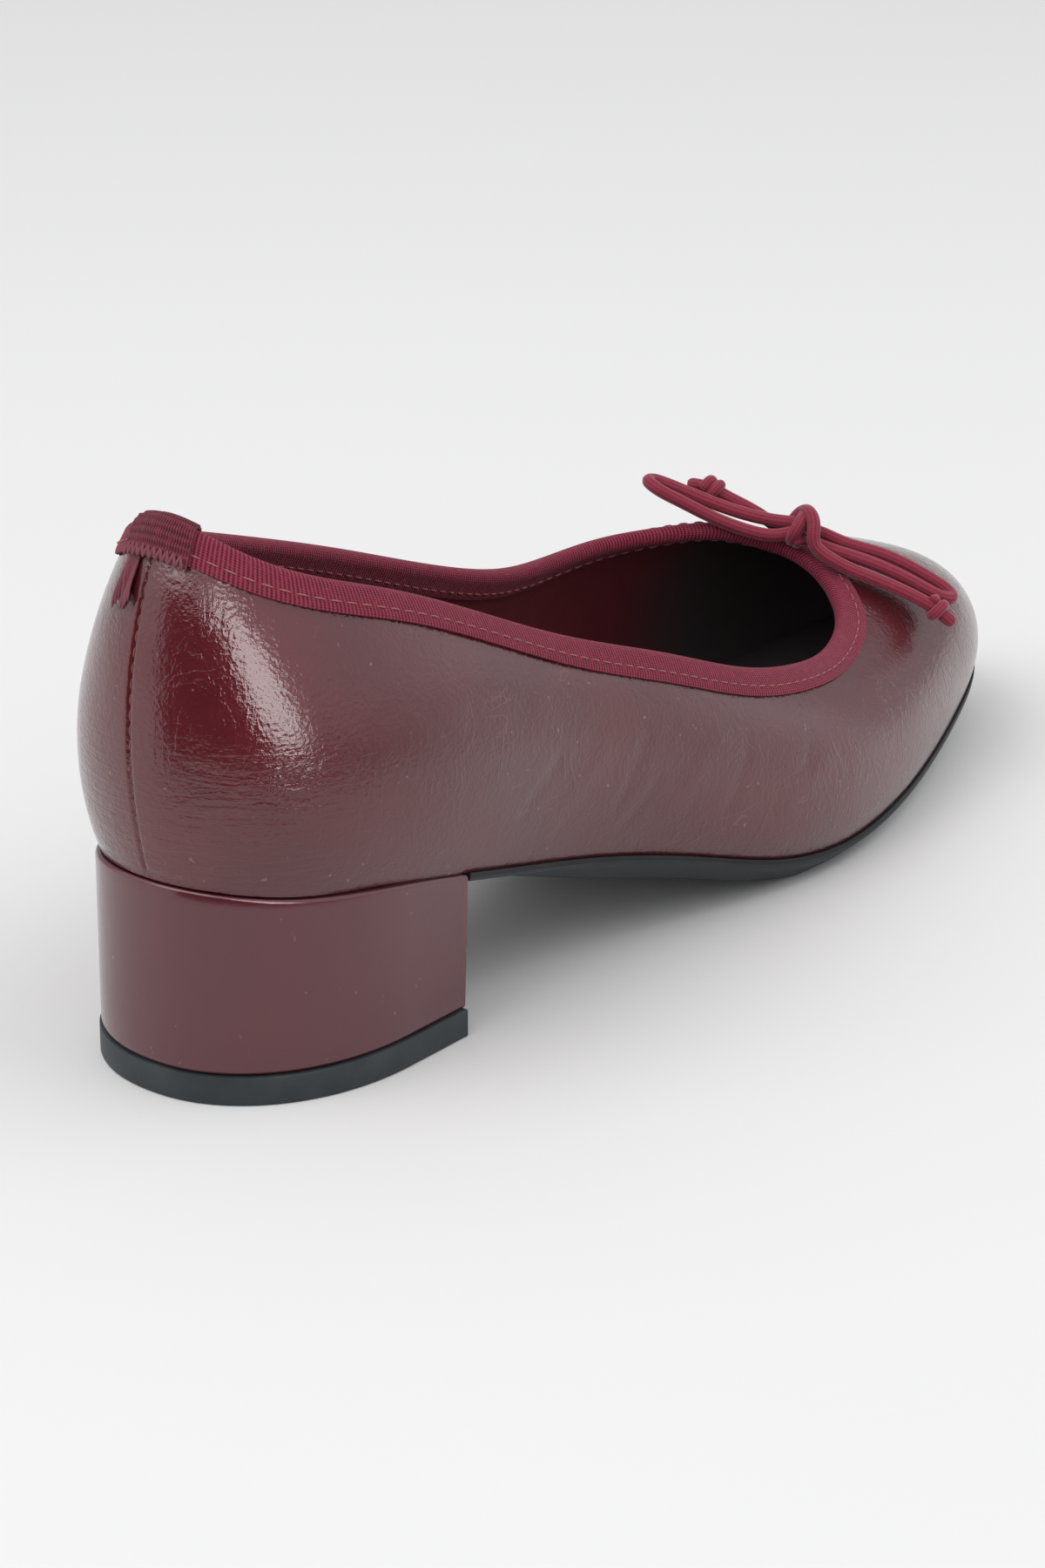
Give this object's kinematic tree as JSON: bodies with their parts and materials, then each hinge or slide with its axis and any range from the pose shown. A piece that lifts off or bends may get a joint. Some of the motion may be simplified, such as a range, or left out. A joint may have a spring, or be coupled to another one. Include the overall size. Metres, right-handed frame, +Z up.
{
  "type": "block heel pump",
  "caption": "Right leather pump with a low covered block heel, grosgrain-bound top edge, back tab, small cord bow at the throat and a thin rubber sole.",
  "frame": {"origin": "middle of the heel top piece's underside, on the floor", "axes": "+X towards the toe, +Y towards the inner side of the foot, +Z up"},
  "size_m": [0.2445, 0.0785, 0.0947],
  "materials": {
    "upper_leather": "glossy crinkled oxblood leather",
    "heel_leather": "smooth glossy oxblood leather",
    "grosgrain_ribbon": "matt ribbed ribbon",
    "bow_cord": "matt woven cord",
    "insole_sock": "matt dark red lining leather",
    "sole_rubber": "matt dark grey moulded rubber",
    "lift_rubber": "matt dark slate rubber"
  },
  "bodies": {
    "root": {"upper": "upper_leather", "topline_binding": "grosgrain_ribbon", "heel_tab": "grosgrain_ribbon", "heel_tab_tail": "grosgrain_ribbon", "insole": "insole_sock", "outsole": "sole_rubber", "heel_block": "heel_leather", "heel_top_piece": "lift_rubber", "bow_knot": "bow_cord", "bow_loop_inner": "bow_cord", "bow_loop_outer": "bow_cord", "bow_end_inner": "bow_cord", "bow_end_outer": "bow_cord", "bow_end_knot_inner": "bow_cord", "bow_end_knot_outer": "bow_cord"}
  },
  "joints": []
}
